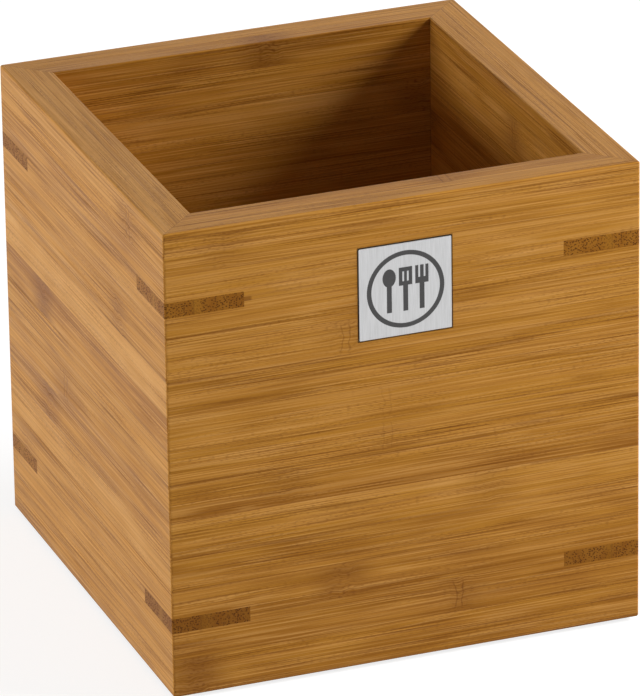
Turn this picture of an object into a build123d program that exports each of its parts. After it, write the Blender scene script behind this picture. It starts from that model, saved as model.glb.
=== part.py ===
"""Open square utensil holder of two-ply laminated bamboo.

Four mitred walls are locked at every corner by two wooden splines. A base panel sits in a groove
round the inside, a small steel badge is let into the front, and four pads carry the whole box.
The origin is on the table, under the middle of the box. The front faces -Y.
"""
import os

from build123d import *

# Box, with its walls made of an outer and an inner bamboo ply
box_width = 125.0
box_depth = 125.0
wall_height = 124.0
outer_ply = 6.0
inner_ply = 5.0
edge_round = 0.6
rim_break = 0.4

# Corner splines, cut as flat triangles that fill a saw kerf across each corner
spline_leg = 20.5
spline_thickness = 4.0
upper_spline_drop = 20.0
lower_spline_rise = 19.5

# Base panel and the groove that holds it
base_thickness = 6.0
base_rise = 6.0
groove_floor = 1.0
base_edge_gap = 0.25

# Badge: a steel plate with dark enamel in its engraving, stuck into a shallow pocket
badge_size = 24.4
badge_corner = 0.3
badge_thickness = 1.0
badge_drop = 11.7
badge_proud = 0.3
badge_gap = 0.2
badge_edge_break = 0.12
adhesive_thickness = 0.15
adhesive_margin = 1.0
enamel_depth = 0.15

# Engraved picture: a ring round a spoon, a spatula and a fork
ring_radius = 10.2
ring_width = 1.2
tool_height = 11.6
tool_pitch = 4.3
handle_width = 1.3
head_width = 3.5
head_height = 4.8
tine_gap = 0.45
tine_gap_pitch = 1.4
tine_length = 3.2
blade_slot_pitch = 1.2
blade_slot_length = 2.6

# Pads under the corners
foot_diameter = 8.0
foot_height = 1.0
foot_inset = 7.0
foot_edge_round = 0.25

wall_thickness = outer_ply + inner_ply
rim_height = foot_height + wall_height
wall_foot = Plane.XY.offset(foot_height)
well_width = box_width - 2 * wall_thickness
well_depth = box_depth - 2 * wall_thickness
groove_depth = inner_ply - groove_floor
base_bottom = foot_height + base_rise
badge_centre_height = rim_height - badge_drop - badge_size / 2
front_face = Plane(
    origin=(0, -box_depth / 2, badge_centre_height), x_dir=(1, 0, 0), z_dir=(0, -1, 0)
)
pocket_depth = adhesive_thickness + badge_thickness - badge_proud
pocket_floor = front_face.offset(-pocket_depth)
plate_back = pocket_floor.offset(adhesive_thickness)
plate_front = plate_back.offset(badge_thickness)

os.makedirs("parts", exist_ok=True)


def save(part, name):
    """Label a finished piece and write it under its own name."""
    part.label = name
    export_step(part, f"parts/{name}.step")


def square_sketch(plane, width, height, corner=0.0):
    """A centred rectangle on a plane, with round corners where a radius is given."""
    with BuildSketch(plane) as square:
        Rectangle(width, height)
        if corner > 0:
            fillet(square.vertices(), radius=corner)
    return square.sketch


# The whole frame of walls as one rounded ring: every wooden piece of it is cut from this
with BuildPart() as wall_ring:
    extrude(square_sketch(wall_foot, box_width, box_depth), amount=wall_height)
    fillet(wall_ring.edges(), radius=edge_round)
    extrude(square_sketch(wall_foot, well_width, well_depth), amount=wall_height, mode=Mode.SUBTRACT)
    rim_face = wall_ring.faces().sort_by(Axis.Z)[-1]
    fillet(rim_face.inner_wires().edges(), radius=rim_break)

# Two splines across each corner
spline_heights = {
    "upper": rim_height - upper_spline_drop,
    "lower": foot_height + lower_spline_rise,
}
corner_signs = {
    "front_left": (-1, -1),
    "front_right": (1, -1),
    "back_right": (1, 1),
    "back_left": (-1, 1),
}
splines = []
for corner_name, (sign_x, sign_y) in corner_signs.items():
    corner_x = sign_x * box_width / 2
    corner_y = sign_y * box_depth / 2
    for level, height in spline_heights.items():
        with BuildPart() as spline:
            with BuildSketch(Plane.XY.offset(height)):
                Polygon(
                    (corner_x, corner_y),
                    (corner_x - sign_x * spline_leg, corner_y),
                    (corner_x, corner_y - sign_y * spline_leg),
                )
            extrude(amount=spline_thickness / 2, both=True)
            add(wall_ring.part, mode=Mode.INTERSECT)
        save(spline.part, f"spline_{corner_name}_{level}")
        splines.append(spline.part)

# Badge
with BuildSketch(plate_front.offset(-enamel_depth)) as picture:
    Circle(ring_radius)
    Circle(ring_radius - ring_width, mode=Mode.SUBTRACT)
    handle_height = tool_height - head_height / 2
    head_centre = tool_height / 2 - head_height / 2
    with Locations((-tool_pitch, 0), (0, 0), (tool_pitch, 0)):
        with Locations((0, -tool_height / 2)):
            Rectangle(handle_width, handle_height, align=(Align.CENTER, Align.MIN))
    with Locations((-tool_pitch, head_centre)):
        Ellipse(head_width / 2, head_height / 2)
    with Locations((0, head_centre)):
        Rectangle(head_width, head_height)
        with Locations((-blade_slot_pitch / 2, 0), (blade_slot_pitch / 2, 0)):
            Rectangle(tine_gap, blade_slot_length, mode=Mode.SUBTRACT)
    with Locations((tool_pitch, head_centre)):
        Rectangle(head_width, head_height)
    with Locations((tool_pitch, tool_height / 2)):
        with Locations((-tine_gap_pitch / 2, 0), (tine_gap_pitch / 2, 0)):
            Rectangle(tine_gap, tine_length, align=(Align.CENTER, Align.MAX), mode=Mode.SUBTRACT)

with BuildPart() as badge_plate:
    extrude(square_sketch(plate_back, badge_size, badge_size, badge_corner), amount=badge_thickness)
    chamfer(badge_plate.faces().sort_by(Axis.Y)[0].edges(), length=badge_edge_break)
    extrude(picture.sketch, amount=enamel_depth, mode=Mode.SUBTRACT)
save(badge_plate.part, "badge_plate")

with BuildPart() as badge_enamel:
    extrude(picture.sketch, amount=enamel_depth)
save(badge_enamel.part, "badge_enamel")

adhesive_size = badge_size - 2 * adhesive_margin
with BuildPart() as badge_adhesive:
    extrude(
        square_sketch(pocket_floor, adhesive_size, adhesive_size, badge_corner),
        amount=adhesive_thickness,
    )
save(badge_adhesive.part, "badge_adhesive")

# Base panel, its edges let into the groove
with BuildPart() as base_panel:
    panel_grow = 2 * (groove_depth - base_edge_gap)
    extrude(
        square_sketch(Plane.XY.offset(base_bottom), well_width + panel_grow, well_depth + panel_grow),
        amount=base_thickness,
    )
save(base_panel.part, "base_panel")

with BuildPart() as base_groove:
    extrude(
        square_sketch(
            Plane.XY.offset(base_bottom), well_width + 2 * groove_depth, well_depth + 2 * groove_depth
        ),
        amount=base_thickness,
    )

pocket_size = badge_size + 2 * badge_gap
with BuildPart() as badge_pocket:
    extrude(
        square_sketch(pocket_floor, pocket_size, pocket_size, badge_corner + badge_gap),
        amount=pocket_depth + edge_round,
    )

# Walls: each ply is one mitred board, the same on every side but for the front's badge pocket
wall_turns = {"front": 0, "right": 90, "back": 180, "left": 270}
for side, turn in wall_turns.items():
    side_plane = wall_foot.rotated((0, 0, turn))
    crosswise = side in ("front", "back")
    run = box_width if crosswise else box_depth
    span = box_depth if crosswise else box_width
    for layer in ("outer", "inner"):
        near = 0 if layer == "outer" else outer_ply
        far = outer_ply if layer == "outer" else wall_thickness
        with BuildPart() as ply:
            with BuildSketch(side_plane):
                Polygon(
                    (-run / 2 + near, -span / 2 + near),
                    (run / 2 - near, -span / 2 + near),
                    (run / 2 - far, -span / 2 + far),
                    (-run / 2 + far, -span / 2 + far),
                )
            extrude(amount=wall_height)
            add(wall_ring.part, mode=Mode.INTERSECT)
            add(splines, mode=Mode.SUBTRACT)
            add(base_groove.part, mode=Mode.SUBTRACT)
            if side == "front":
                add(badge_pocket.part, mode=Mode.SUBTRACT)
        save(ply.part, f"{side}_wall_{layer}_ply")

# Pads, stuck under the four corners of the walls
for corner_name, (sign_x, sign_y) in corner_signs.items():
    foot_x = sign_x * (box_width / 2 - foot_inset)
    foot_y = sign_y * (box_depth / 2 - foot_inset)
    with BuildPart() as foot:
        with BuildSketch(Plane.XY):
            with Locations((foot_x, foot_y)):
                Circle(foot_diameter / 2)
        extrude(amount=foot_height)
        fillet(foot.edges().sort_by(Axis.Z)[0], radius=foot_edge_round)
    save(foot.part, f"foot_{corner_name}")
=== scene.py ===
"""Looks of the bamboo utensil box: laminated boards, end-grain splines, a steel badge and rubber pads.

Lengths inside the materials are millimetres, but for the depth of relief. Everything else is in
metres, in the frame's own axes: the front wall faces -Y, +X is to its right and +Z is up out of
the open top.
"""
import math

import bmesh
import bpy
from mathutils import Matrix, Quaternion, Vector


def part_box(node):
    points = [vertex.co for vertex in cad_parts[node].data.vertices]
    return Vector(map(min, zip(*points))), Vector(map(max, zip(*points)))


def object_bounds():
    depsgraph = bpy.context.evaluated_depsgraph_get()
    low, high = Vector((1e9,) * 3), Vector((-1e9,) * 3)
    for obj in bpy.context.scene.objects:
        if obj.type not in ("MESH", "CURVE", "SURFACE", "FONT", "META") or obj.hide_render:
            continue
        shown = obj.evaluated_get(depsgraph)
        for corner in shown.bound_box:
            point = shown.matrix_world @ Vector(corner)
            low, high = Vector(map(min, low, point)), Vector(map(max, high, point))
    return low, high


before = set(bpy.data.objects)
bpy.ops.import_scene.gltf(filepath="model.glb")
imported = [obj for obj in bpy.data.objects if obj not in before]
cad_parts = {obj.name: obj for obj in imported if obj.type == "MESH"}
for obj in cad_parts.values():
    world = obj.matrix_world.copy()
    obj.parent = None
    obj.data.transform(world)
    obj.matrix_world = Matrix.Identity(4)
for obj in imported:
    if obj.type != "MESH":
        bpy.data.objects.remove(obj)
cad_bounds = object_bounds()

# Places on the box, in millimetres
MM = 1000.0
half_width = cad_bounds[1][0] * MM
half_depth = cad_bounds[1][1] * MM
rim_height = cad_bounds[1][2] * MM
inner_ply_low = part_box("front_wall_inner_ply")[0]
outer_ply = half_depth + inner_ply_low.y * MM
plate_low, plate_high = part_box("badge_plate")
plate_half = plate_high.x * MM
plate_middle = (plate_low.z + plate_high.z) / 2 * MM
spline_low, spline_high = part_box("spline_front_left_upper")
spline_end = spline_high.x * MM
spline_middle = (spline_low.z + spline_high.z) / 2 * MM

# Boards: edge-glued strips, laid at the same heights on every wall
strip_height = 9.33
top_strip_height = 1.77
inner_ply_shift = 4.1

# Thin lines, each with how far from its middle it begins to show and how far it is at its full
glue_line = (0.16, 0.03)
ply_line = (0.16, 0.02)
mitre_line = (0.18, 0.03)
ridge_line = (0.34, 0.05)
layer_line = (0.2, 0.05)

# Painted shade on the front wall: a dark band round the badge plate for the shade in its gap, and the
# shade of a nick at the end of a spline, drawn in colour only
pocket_shadow_reach = (0.5, 0.25)
nick_shade_length = (2.3, 1.5)
nick_shade_height = (0.75, 0.4)

# Grain, each pattern with its length along the fibres and its breadth across them
cloud_size = (16.0, 5.0)
band_size = (120.0, 1.9)
dense_size = (44.0, 2.6)
dark_fibre_size = (60.0, 0.62)
pale_fibre_size = (50.0, 0.8)
hair_size = (36.0, 0.36)
fleck_size = (1.2, 0.34)
depth_stretch = 1.3
wood_relief = 0.00005
wood_ior = 1.25

# Steps through the noise from strip to strip and from board to board, so that no two are alike
strip_step = 31.7
board_step = 13.1

# Course of the fibres: their slope, a slow drift and a bend round the knuckle
askew_slope = 0.05
drift_size = (90.0, 9.0)
drift_height = 0.6
bend_size = (4.0, 5.0)
bend_height = 3.0
bend_reach = 7.0

# Knuckles: a smudge, and two thin ridges that bow and wave
smudge_reach = 12.0
ridge_offset = 1.0
ridge_bow = 2.4
ridge_wave_size = (3.0, 2.2)
ridge_wave = 1.6

# Splines: two layers joined some way in from the corner, their patterns with sizes along the slant,
# inward and up
layer_joint = 5.3
dot_size = (2.0, 0.42, 0.48)
grit_size = (1.2, 0.25, 0.25)
shade_size = (8.0, 2.5, 5.0)
spline_step = 5.3
spline_relief = 0.00006


def srgb(red, green, blue):
    """A colour picked on screen, 0 to 255, as Blender's linear colour."""
    def linear(level):
        level = level / 255
        return level / 12.92 if level <= 0.04045 else ((level + 0.055) / 1.055) ** 2.4

    return linear(red), linear(green), linear(blue), 1.0


def grey(level):
    return level, level, level, 1.0


bamboo_dark = srgb(112, 62, 16)
bamboo_brown = srgb(150, 95, 27)
bamboo_honey = srgb(182, 125, 44)
bamboo_pale = srgb(211, 156, 86)
bamboo_pink = srgb(194, 135, 66)
pocket_shadow = srgb(56, 38, 22)
spline_brown = srgb(144, 92, 22)
spline_tan = srgb(166, 112, 34)
spline_red = srgb(136, 80, 22)
spline_shade = srgb(92, 48, 12)
bundle_dark = srgb(74, 36, 10)
grit_brown = srgb(92, 52, 18)


class Value:
    """A number on its way through a material: sums on it add the Math nodes."""

    def __init__(self, nodes, socket):
        self.nodes = nodes
        self.socket = socket

    def output(self, name):
        """Another output of the node that this number comes from."""
        return Value(self.nodes, self.socket.node.outputs[name])

    def math(self, operation, *others):
        return self.nodes.node("ShaderNodeMath", {"operation": operation}, [self, *others])

    def __add__(self, other):
        return self.math("ADD", other)

    def __sub__(self, other):
        return self.math("SUBTRACT", other)

    def __mul__(self, other):
        return self.math("MULTIPLY", other)

    def __truediv__(self, other):
        return self.math("DIVIDE", other)

    def __rsub__(self, other):
        return self.nodes.node("ShaderNodeMath", {"operation": "SUBTRACT"}, [other, self])

    __radd__ = __add__
    __rmul__ = __mul__

    def __abs__(self):
        return self.math("ABSOLUTE")

    def floor(self):
        return self.math("FLOOR")

    def power(self, exponent):
        return self.math("POWER", exponent)

    def least(self, other):
        return self.math("MINIMUM", other)

    def most(self, other):
        return self.math("MAXIMUM", other)

    def ease(self, start, end):
        """0 before start and 1 after end, with a smooth rise between; start may be the larger."""
        return self.nodes.node(
            "ShaderNodeMapRange",
            {"interpolation_type": "SMOOTHSTEP"},
            {"Value": self, "From Min": start, "From Max": end},
        )

    def hump(self, middle, reach):
        """1 at the middle, falling smoothly to 0 at the reach on both sides."""
        return abs(self - middle).ease(reach, 0.0)


class Nodes:
    """The nodes of one material or of the world. All of them are added by node()."""

    def __init__(self, tree):
        self.tree = tree

    def node(self, kind, settings=(), inputs=(), output=0):
        """Adds one node: its settings first, then values or links for its sockets."""
        made = self.tree.nodes.new(kind)
        for key, value in dict(settings).items():
            if key == "stops":
                self.set_stops(made.color_ramp.elements, value)
            elif key == "ramp_interpolation":
                made.color_ramp.interpolation = value
            else:
                setattr(made, key, value)
        pairs = inputs.items() if isinstance(inputs, dict) else enumerate(inputs)
        for key, value in pairs:
            if isinstance(value, Value):
                self.tree.links.new(value.socket, made.inputs[key])
            else:
                made.inputs[key].default_value = value
        return Value(self, made.outputs[output])

    def set_stops(self, elements, colours):
        """Evenly spaced stops on a ramp, which starts out with two."""
        for index, colour in enumerate(colours):
            position = index / len(colours)
            stop = elements[index] if index < 2 else elements.new(position)
            stop.position = position
            stop.color = colour

    def seen_directly(self):
        """1 for what the camera sees, also in a reflection or through glass, and 0 for its light."""
        ray = self.node("ShaderNodeLightPath", output="Is Camera Ray")
        return ray.most(ray.output("Is Glossy Ray")).most(ray.output("Is Transmission Ray"))


class Finish(Nodes):
    """A material being made around one Principled shader."""

    def __init__(self, name, **constants):
        self.material = bpy.data.materials.new(name)
        self.material.use_nodes = True
        super().__init__(self.material.node_tree)
        self.shader = self.tree.nodes["Principled BSDF"]
        for socket_name, value in constants.items():
            self.shader.inputs[socket_name.replace("_", " ")].default_value = value

    def feed(self, socket_name, value):
        self.tree.links.new(value.socket, self.shader.inputs[socket_name])

    def place(self):
        """X, Y and Z on the object, in millimetres."""
        coordinates = self.node("ShaderNodeTexCoord", output="Object")
        x = self.node("ShaderNodeSeparateXYZ", inputs=[coordinates])
        return x * MM, x.output("Y") * MM, x.output("Z") * MM

    def vector(self, x, y, z):
        return self.node("ShaderNodeCombineXYZ", inputs=[x, y, z])

    def noise(self, x, y, z, detail=2.0, roughness=0.5):
        """Soft noise about 0.5, one unit of x, y and z to a blotch."""
        return self.node(
            "ShaderNodeTexNoise",
            {"noise_dimensions": "3D"},
            {"Vector": self.vector(x, y, z), "Scale": 1.0, "Detail": detail, "Roughness": roughness},
        )

    def wander(self, x, y, z, reach):
        """Smooth noise about 0, half the reach to each side at most."""
        return (self.noise(x, y, z, detail=0.0) - 0.5) * reach

    def mix(self, share, first, second):
        settings = {"data_type": "RGBA", "blend_type": "MIX", "clamp_factor": True}
        return self.node("ShaderNodeMix", settings, {0: share, 6: first, 7: second}, output=2)

    def pick(self, number, rows):
        """The values of one row, its place in the list given as a whole number.

        Each ramp holds three columns of the rows, as red, green and blue.
        """
        share = (number + 0.5) / len(rows)
        picked = []
        for column in range(0, len(rows[0]), 3):
            stops = [(*row[column:column + 3], 1.0) for row in rows]
            settings = {"ramp_interpolation": "CONSTANT", "stops": stops}
            ramp = self.node("ShaderNodeValToRGB", settings, [share])
            first = self.node("ShaderNodeSeparateColor", inputs=[ramp])
            picked += [first, first.output("Green"), first.output("Blue")]
        return picked

    def bump(self, height, depth):
        """Relief from a height of 0 to 1, depth metres tall."""
        made = self.node("ShaderNodeBump", inputs={"Height": height, "Distance": depth, "Strength": 1.0})
        self.feed("Normal", made)

    def dress(self, *node_names):
        for node_name in node_names:
            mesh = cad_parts[node_name].data
            mesh.materials.clear()
            mesh.materials.append(self.material)


class BambooBoard(Finish):
    """A laminated board: along runs with its fibres, up across its strips, through into the wood.

    Each strip is (tone at its top, tone at its bottom, knuckle place, smudge, ridges, plainness).
    The knuckle place runs along the board from its low end to its high end. A lying board has its
    strips side by side from front to back, and no mitres or plies.
    """

    def __init__(self, name, along_x, seed, strips, shift=0.0, lying=False):
        super().__init__(name, IOR=wood_ior)
        self.x, self.y, self.z = self.place()
        self.along_x = along_x
        self.lying = lying
        self.along, self.through = (self.x, self.y) if along_x else (self.y, self.x)
        self.up = self.z
        if lying:
            self.through, self.up = self.z, self.y + half_depth
        self.lay_strips(seed, strips, shift)
        self.run_fibres()
        self.paint()

    def lay_strips(self, seed, strips, shift):
        """Finds the strip that a point lies on, and the looks and the knuckle of that strip."""
        down = (rim_height - top_strip_height + shift - self.up) / strip_height + 1.0
        strip = down.floor().most(0.0).least(len(strips) - 1.0)
        self.across = down - strip
        looks = self.pick(strip, strips)
        self.top_tone, self.bottom_tone, knuckle_share = looks[:3]
        self.smudge_weight, self.ridge_weight, self.plainness = looks[3:]
        half_length = half_width if self.along_x else half_depth
        self.from_knuckle = self.along - (knuckle_share * 2.0 - 1.0) * half_length
        self.at_knuckle = self.from_knuckle.hump(0.0, bend_reach) * self.smudge_weight
        self.lane = strip * strip_step + seed * board_step

    def run_fibres(self):
        """Fibres run along the strip, a little askew, and bend round its knuckle."""
        drift_length, drift_breadth = drift_size
        bend_length, bend_breadth = bend_size
        askew = self.wander(self.lane, 0.0, 0.0, askew_slope)
        drift_along = self.along / drift_length + self.lane
        drift = self.wander(drift_along, self.up / drift_breadth, 0.0, drift_height)
        bend = self.wander(self.along / bend_length, self.up / bend_breadth, self.lane, bend_height)
        self.row = self.up + self.along * askew + drift + self.at_knuckle * bend
        self.depth = self.through * depth_stretch

    def grain(self, size, detail=0.0, lane=None):
        """Noise drawn out along the fibres."""
        length, breadth = size
        start = self.lane if lane is None else lane
        return self.noise(self.along / length + start, self.row / breadth, self.depth / breadth, detail)

    def ridges(self):
        """Two thin wavy ridges across the strip, one on each side of its knuckle."""
        wave_length, wave_breadth = ridge_wave_size
        wave = self.wander(self.along / wave_length, self.up / wave_breadth, self.lane, ridge_wave)
        bow = (self.across - 0.5).power(2.0) * ridge_bow + wave
        from_ridge = abs(abs(self.from_knuckle + bow) - ridge_offset)
        on_strip = self.across.ease(0.04, 0.2) * self.across.ease(0.96, 0.8)
        return from_ridge.ease(*ridge_line) * self.ridge_weight * on_strip

    def glue_lines(self):
        """Lines between the strips, and the lines between the plies and in the mitres."""
        strip_edge = self.across.least(1.0 - self.across) * strip_height
        strip_line = strip_edge.ease(*glue_line)
        if self.lying:
            return strip_line, strip_line
        wall_face = half_depth if self.along_x else half_width
        from_ply_joint = abs(abs(self.through) - (wall_face - outer_ply))
        from_mitre = abs((abs(self.x) - half_width) - (abs(self.y) - half_depth))
        return strip_line, from_ply_joint.ease(*ply_line).most(from_mitre.ease(*mitre_line))

    def marks(self, colour):
        """What only one board has, over its colour."""
        return colour

    def paint(self):
        """The tones of the strips, with each kind of line over them in turn."""
        cloud = self.grain(cloud_size, 1.0)
        band = self.grain(band_size, 1.0)
        dense = self.grain(dense_size, 1.0).ease(0.44, 0.62)
        lined = 1.0 - self.plainness

        # Fibres lie where their noise passes its middle, hairs where it is high or low
        from_dark_fibre = abs(self.grain(dark_fibre_size) - 0.5)
        dark_fibre = from_dark_fibre.ease(0.08, 0.03) * (0.35 + 0.65 * dense) * lined
        from_pale_fibre = abs(self.grain(pale_fibre_size, lane=self.lane * 2.0) - 0.5)
        pale_fibre = from_pale_fibre.ease(0.07, 0.015)
        hair = self.grain(hair_size)
        dark_hair = hair.ease(0.6, 0.67) * (0.5 + 0.5 * dense) * lined
        pale_hair = hair.ease(0.4, 0.3)
        flecks = self.grain(fleck_size).ease(0.52, 0.7) * (0.15 + dense * 0.45 + self.at_knuckle)
        near_knuckle = self.from_knuckle.hump(0.0, smudge_reach)
        smudge = near_knuckle * self.smudge_weight * cloud.ease(0.25, 0.55)
        ridges = self.ridges()
        strip_line, joint_line = self.glue_lines()

        tone = self.top_tone + (self.bottom_tone - self.top_tone) * self.across
        light = tone + (cloud - 0.5) * 0.5 + (band - 0.5) * 0.3
        colour = self.mix(light.ease(0.05, 0.6), bamboo_brown, bamboo_honey)
        colour = self.mix(light.ease(0.5, 1.05), colour, bamboo_pale)
        for mask, weight, tint in (
            (band.ease(0.4, 0.7), 0.35, bamboo_pink),
            (pale_fibre, 0.3, bamboo_pale),
            (pale_hair, 0.44, bamboo_pale),
            (dark_fibre, 0.44, bamboo_dark),
            (dark_hair, 0.6, bamboo_dark),
            (flecks, 0.45, bamboo_dark),
            (smudge, 0.6, bamboo_dark),
            (ridges, 0.62, bamboo_dark),
            (strip_line, 0.35, bamboo_dark),
            (joint_line, 0.5, bamboo_dark),
        ):
            colour = self.mix(mask * weight, colour, tint)
        self.feed("Base Color", self.marks(colour))
        self.feed("Roughness", 0.44 + dark_hair * 0.1 + (band - 0.5) * 0.2)
        grooves = dark_hair * 0.3 + dark_fibre * 0.25 + (strip_line + joint_line + ridges) * 0.4
        self.bump(0.6 - grooves, wood_relief)


class FrontBoard(BambooBoard):
    """The front wall's outer ply."""

    def marks(self, colour):
        """The dark rim of the badge's pocket, painted as the shade in the gap round the plate, and the
        painted shade of a nick where a saw cut ran on past its spline.
        """
        # Painted shade: the wood round the badge plate is darkened as the shadow in its gap
        from_plate = (abs(self.x) - plate_half).most(abs(self.z - plate_middle) - plate_half)
        colour = self.mix(from_plate.ease(*pocket_shadow_reach) * 0.8, colour, pocket_shadow)
        # Painted shade of the nick past the spline's end, in colour only, with no cut in the surface
        nick_shade_across = abs(self.x - spline_end).ease(*nick_shade_length)
        nick_shade_up = abs(self.z - spline_middle).ease(*nick_shade_height)
        return self.mix(nick_shade_across * nick_shade_up * 0.6, colour, bamboo_dark)


front_strips = [
    (0.56, 0.50, 0.12, 0.0, 0.0, 0.0), (0.58, 0.46, 0.12, 0.3, 0.0, 0.1),
    (0.60, 0.62, 0.70, 0.0, 0.0, 0.4), (0.54, 0.46, 0.40, 0.0, 0.0, 0.1),
    (0.60, 0.48, 0.375, 0.35, 0.6, 0.3), (0.48, 0.40, 0.80, 0.0, 0.0, 0.0),
    (0.46, 0.50, 0.46, 0.0, 0.2, 0.4), (0.56, 0.42, 0.46, 0.15, 0.3, 0.0),
    (0.46, 0.12, 0.25, 0.3, 0.0, 0.2), (0.70, 0.42, 0.68, 0.35, 0.0, 0.2),
    (0.42, 0.34, 0.20, 0.0, 0.0, 0.0), (0.34, 0.24, 0.36, 0.8, 0.0, 0.3),
    (0.26, 0.28, 0.61, 0.6, 0.8, 0.0), (0.38, 0.30, 0.05, 1.0, 0.0, 0.1),
]
left_strips = [
    (0.62, 0.58, 0.30, 0.0, 0.0, 0.3), (0.56, 0.48, 0.21, 0.7, 0.9, 0.0),
    (0.34, 0.40, 0.30, 0.0, 0.0, 0.0), (0.52, 0.42, 0.60, 0.0, 0.0, 0.3),
    (0.48, 0.50, 0.28, 0.6, 0.0, 0.0), (0.78, 0.70, 0.30, 0.0, 0.0, 0.5),
    (0.06, 0.42, 0.76, 1.0, 0.0, 0.3), (0.54, 0.48, 0.30, 0.0, 0.0, 0.0),
    (0.46, 0.36, 0.63, 0.3, 0.9, 0.2), (0.28, 0.38, 0.74, 0.8, 0.0, 0.0),
    (0.74, 0.62, 0.30, 0.0, 0.0, 0.4), (0.48, 0.40, 0.90, 0.3, 0.0, 0.0),
    (0.54, 0.48, 0.40, 0.0, 0.0, 0.2), (0.52, 0.44, 0.95, 0.3, 0.0, 0.1),
]
right_strips = [
    (0.52, 0.48, 0.50, 0.0, 0.0, 0.2), (0.54, 0.42, 0.80, 0.6, 0.5, 0.0),
    (0.66, 0.54, 0.20, 0.0, 0.0, 0.4), (0.38, 0.46, 0.15, 0.7, 0.0, 0.0),
    (0.60, 0.50, 0.50, 0.0, 0.0, 0.2), (0.68, 0.58, 0.55, 0.9, 0.0, 0.3),
    (0.50, 0.40, 0.10, 0.0, 0.0, 0.0), (0.32, 0.44, 0.35, 0.5, 0.8, 0.2),
    (0.62, 0.52, 0.80, 0.0, 0.0, 0.4), (0.56, 0.46, 0.90, 0.8, 0.0, 0.0),
    (0.48, 0.40, 0.20, 0.0, 0.0, 0.1), (0.68, 0.56, 0.45, 0.6, 0.6, 0.3),
    (0.48, 0.52, 0.70, 0.0, 0.0, 0.0), (0.60, 0.50, 0.25, 0.6, 0.0, 0.2),
]
back_strips = [
    (0.54, 0.50, 0.40, 0.0, 0.0, 0.2), (0.64, 0.54, 0.65, 0.7, 0.0, 0.3),
    (0.40, 0.48, 0.30, 0.0, 0.0, 0.0), (0.54, 0.46, 0.85, 0.5, 0.6, 0.2),
    (0.32, 0.44, 0.20, 0.9, 0.0, 0.0), (0.62, 0.54, 0.50, 0.0, 0.0, 0.4),
    (0.70, 0.58, 0.40, 0.6, 0.0, 0.3), (0.50, 0.42, 0.75, 0.0, 0.0, 0.0),
    (0.58, 0.50, 0.12, 0.8, 0.5, 0.2), (0.38, 0.46, 0.60, 0.0, 0.0, 0.0),
    (0.66, 0.54, 0.88, 0.7, 0.0, 0.3), (0.54, 0.46, 0.33, 0.0, 0.0, 0.0),
    (0.30, 0.42, 0.55, 0.9, 0.0, 0.1), (0.58, 0.50, 0.70, 0.0, 0.0, 0.3),
]

# Seeds that keep the inner plies and the base unlike the outer plies
first_inner_seed = 7
base_seed = 17

for seed, (side, along_x, strips) in enumerate((
    ("front", True, front_strips),
    ("left", False, left_strips),
    ("right", False, right_strips),
    ("back", True, back_strips),
)):
    outer_board = FrontBoard if side == "front" else BambooBoard
    outer = outer_board(f"{side}_outer_bamboo", along_x, seed, strips)
    outer.dress(f"{side}_wall_outer_ply")
    inner_seed = first_inner_seed + seed
    inner = BambooBoard(f"{side}_inner_bamboo", along_x, inner_seed, strips[::-1], inner_ply_shift)
    inner.dress(f"{side}_wall_inner_ply")

base = BambooBoard("base_bamboo", True, base_seed, back_strips, lying=True)
base.dress("base_panel")


def spline_bamboo(name, diagonal_sign, seed, plain_reach, shade):
    """Bamboo cut slantwise across its fibres, so that the fibre bundles show as dark dots.

    The plain reach is how far the wood stays nearly free of dots past the joint of its layers. The
    shade is how far the whole spline is darkened, up to 1.
    """
    wood = Finish(name, IOR=wood_ior)
    x, y, z = wood.place()
    inward = half_width * math.sqrt(2) - abs(x + y * diagonal_sign) / math.sqrt(2)
    slant = (x - y * diagonal_sign) / math.sqrt(2)
    corner_layer = inward.ease(layer_joint, layer_joint - 0.4)
    inner_layer = inward.ease(layer_joint + 0.2, layer_joint + plain_reach)
    crowd = inner_layer.most(corner_layer)

    def place_in(size, start):
        """The place counted in a pattern's own sizes, from a start of its own up the spline."""
        size_slant, size_inward, size_up = size
        return slant / size_slant, inward / size_inward, z / size_up + start

    from_bundle = wood.node(
        "ShaderNodeTexVoronoi",
        {"feature": "F1"},
        {"Vector": wood.vector(*place_in(dot_size, seed * spline_step)), "Scale": 1.0},
    )
    dots = from_bundle.ease(0.5, 0.25) * (0.3 + 0.7 * crowd)
    grit = wood.noise(*place_in(grit_size, seed), 2.0, 0.6)
    cloud = wood.noise(*place_in(shade_size, seed), 1.0)

    colour = wood.mix(cloud.ease(0.3, 0.7), spline_brown, spline_tan)
    colour = wood.mix(crowd * 0.35, colour, spline_red)
    colour = wood.mix(shade + (cloud - 0.5) * 0.2, colour, spline_shade)
    colour = wood.mix(dots * 0.85, colour, bundle_dark)
    colour = wood.mix(grit.ease(0.5, 0.7) * 0.35, colour, grit_brown)
    colour = wood.mix(abs(inward - layer_joint).ease(*layer_line) * 0.3, colour, grit_brown)
    wood.feed("Base Color", colour)
    wood.feed("Roughness", 0.5 + dots * 0.15)
    wood.bump(0.5 - dots * 0.4, spline_relief)
    return wood


# Each spline has its own plain reach and shade
for seed, (corner, diagonal_sign, upper_look, lower_look) in enumerate((
    ("front_left", 1, (2.2, 0.12), (2.8, 0.4)),
    ("front_right", -1, (2.4, 0.0), (2.0, 0.25)),
    ("back_right", 1, (4.4, 0.2), (1.6, 0.3)),
    ("back_left", -1, (0.8, 0.2), (3.6, 0.1)),
)):
    for level, first_seed, look in (("upper", 0, upper_look), ("lower", 3, lower_look)):
        name = f"{corner}_{level}_spline_bamboo"
        spline = spline_bamboo(name, diagonal_sign, seed + first_seed, *look)
        spline.dress(f"spline_{corner}_{level}")


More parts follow.
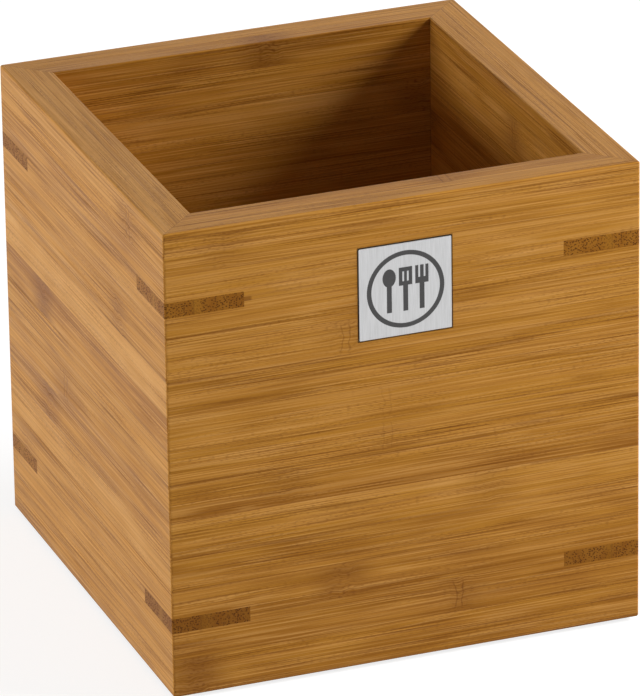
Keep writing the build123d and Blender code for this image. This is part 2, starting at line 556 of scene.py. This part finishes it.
def brushed_steel():
    """Stainless sheet, brushed up and down."""
    steel = Finish("brushed_steel", Metallic=1.0)
    x, y, z = steel.place()
    brush_width, brush_length = 0.06, 6.0
    patch_width, patch_length = 6.0, 9.0
    brush = steel.noise(x / brush_width, y / brush_width, z / brush_length, 2.0, 0.7)
    patch = steel.noise(x / patch_width, y / patch_width, z / patch_length, 1.0)
    steel.feed("Base Color", steel.mix(brush.ease(0.3, 0.7), srgb(180, 180, 180), srgb(200, 200, 201)))
    steel.feed("Roughness", 0.34 + (brush - 0.5) * 0.2 + (patch - 0.5) * 0.1)
    steel.bump(brush, 0.000004)
    return steel


def dark_enamel():
    """Dark grey enamel, very slightly uneven where it was wiped level."""
    enamel = Finish("dark_enamel")
    x, y, z = enamel.place()
    wipe_size = 0.5
    wipe = enamel.noise(x / wipe_size, y / wipe_size, z / wipe_size, 2.0)
    enamel.feed("Base Color", enamel.mix(wipe, srgb(48, 47, 47), srgb(64, 63, 63)))
    enamel.feed("Roughness", 0.38 + wipe * 0.15)
    enamel.bump(wipe, 0.000005)
    return enamel


def adhesive_film():
    """Whitish film with a faint web in it."""
    film = Finish("adhesive_film")
    x, y, z = film.place()
    web_size = 0.4
    web = film.noise(x / web_size, y / web_size, z / web_size, 2.0)
    film.feed("Base Color", film.mix(web, srgb(206, 204, 196), srgb(226, 224, 216)))
    film.feed("Roughness", 0.5 + web * 0.2)
    return film


def pad_rubber():
    """Dark moulded rubber with a fine matt grain."""
    rubber = Finish("pad_rubber")
    x, y, z = rubber.place()
    grain_size, dust_size = 0.25, 3.0
    grain = rubber.noise(x / grain_size, y / grain_size, z / grain_size, 2.0, 0.6)
    dust = rubber.noise(x / dust_size, y / dust_size, z / dust_size, 2.0)
    rubber.feed("Base Color", rubber.mix(dust, srgb(58, 55, 52), srgb(76, 73, 69)))
    rubber.feed("Roughness", 0.62 + grain * 0.2)
    rubber.bump(grain, 0.00002)
    return rubber


brushed_steel().dress("badge_plate")
dark_enamel().dress("badge_enamel")
adhesive_film().dress("badge_adhesive")
pads = pad_rubber()
pads.dress("foot_front_left", "foot_front_right", "foot_back_right", "foot_back_left")


def studio_floor():
    """A pale floor that the camera sees as white, with the box's soft shadow kept."""
    mesh = bpy.data.meshes.new("studio_floor")
    sheet = bmesh.new()
    bmesh.ops.create_grid(sheet, x_segments=1, y_segments=1, size=6.0)
    sheet.to_mesh(mesh)
    sheet.free()
    floor = bpy.data.objects.new("studio_floor", mesh)
    bpy.context.scene.collection.objects.link(floor)
    paper = Finish("floor_paper", Roughness=0.9, Specular_IOR_Level=0.1, Emission_Strength=1.0)
    seen = paper.seen_directly()
    paper.feed("Base Color", paper.mix(seen, grey(0.22), grey(0.35)))
    paper.feed("Emission Color", paper.mix(seen, grey(0.0), grey(0.8)))
    mesh.materials.append(paper.material)


def studio_world():
    """White to the eye, and a low even light on the box."""
    even_light = 0.15
    world = bpy.data.worlds.new("studio")
    bpy.context.scene.world = world
    world.use_nodes = True
    air = Nodes(world.node_tree)
    background = air.tree.nodes["Background"]
    background.inputs["Color"].default_value = grey(1.0)
    level = even_light + (1.0 - even_light) * air.seen_directly()
    air.tree.links.new(level.socket, background.inputs["Strength"])


def compass(azimuth, elevation):
    """The way out from the box at angles in radians, the azimuth from the front towards the right."""
    return Vector((
        math.sin(azimuth) * math.cos(elevation),
        -math.cos(azimuth) * math.cos(elevation),
        math.sin(elevation),
    ))


def softbox(name, azimuth, elevation, distance, width, height, level):
    """A soft lamp aimed at the middle of the rim, its angles in degrees.

    At level 1 it alone lights a surface that faces it just as its colour reads.
    """
    outward = compass(math.radians(azimuth), math.radians(elevation))
    light = bpy.data.lights.new(name, "AREA")
    light.shape = "RECTANGLE"
    light.size = width
    light.size_y = height
    light.energy = level * (math.pi * distance) ** 2
    lamp = bpy.data.objects.new(name, light)
    lamp.location = outward * distance + Vector((0.0, 0.0, rim_height / MM))
    lamp.rotation_mode = "QUATERNION"
    lamp.rotation_quaternion = (-outward).to_track_quat("-Z", "Y")
    lamp.visible_camera = False
    lamp.visible_glossy = False
    bpy.context.scene.collection.objects.link(lamp)


studio_floor()
studio_world()
softbox("high_right_softbox", 71.5, 27.5, distance=1.3, width=0.7, height=0.5, level=1.26)
softbox("low_left_softbox", -96.0, 9.0, distance=1.3, width=0.5, height=0.16, level=0.4)
softbox("front_panel", 30.0, -4.0, distance=0.8, width=0.8, height=0.14, level=0.44)
softbox("left_panel", -90.0, -2.5, distance=1.2, width=1.2, height=0.14, level=0.44)
softbox("back_panel", 180.0, -2.5, distance=1.2, width=1.2, height=0.14, level=0.4)

# Camera, at the photograph's place
photo_height = 696.0
sensor_width = 36.0
lens_pixels = 7267.9
view_azimuth = math.radians(-20.31)
view_elevation = math.radians(23.14)
view_roll = math.radians(-0.889)
view_distance = 1.8441
view_aim = Vector((-0.0019, -0.0068, 0.0635))

camera_data = bpy.data.cameras.new("camera")
camera_data.sensor_width = sensor_width
camera_data.lens = lens_pixels * sensor_width / photo_height
camera = bpy.data.objects.new("camera", camera_data)
outward = compass(view_azimuth, view_elevation)
camera.location = view_aim + outward * view_distance
camera.rotation_mode = "QUATERNION"
camera.rotation_quaternion = (-outward).to_track_quat("-Z", "Y") @ Quaternion((0, 0, 1), view_roll)
bpy.context.scene.collection.objects.link(camera)
bpy.context.scene.camera = camera
bpy.context.scene.view_settings.view_transform = "Standard"
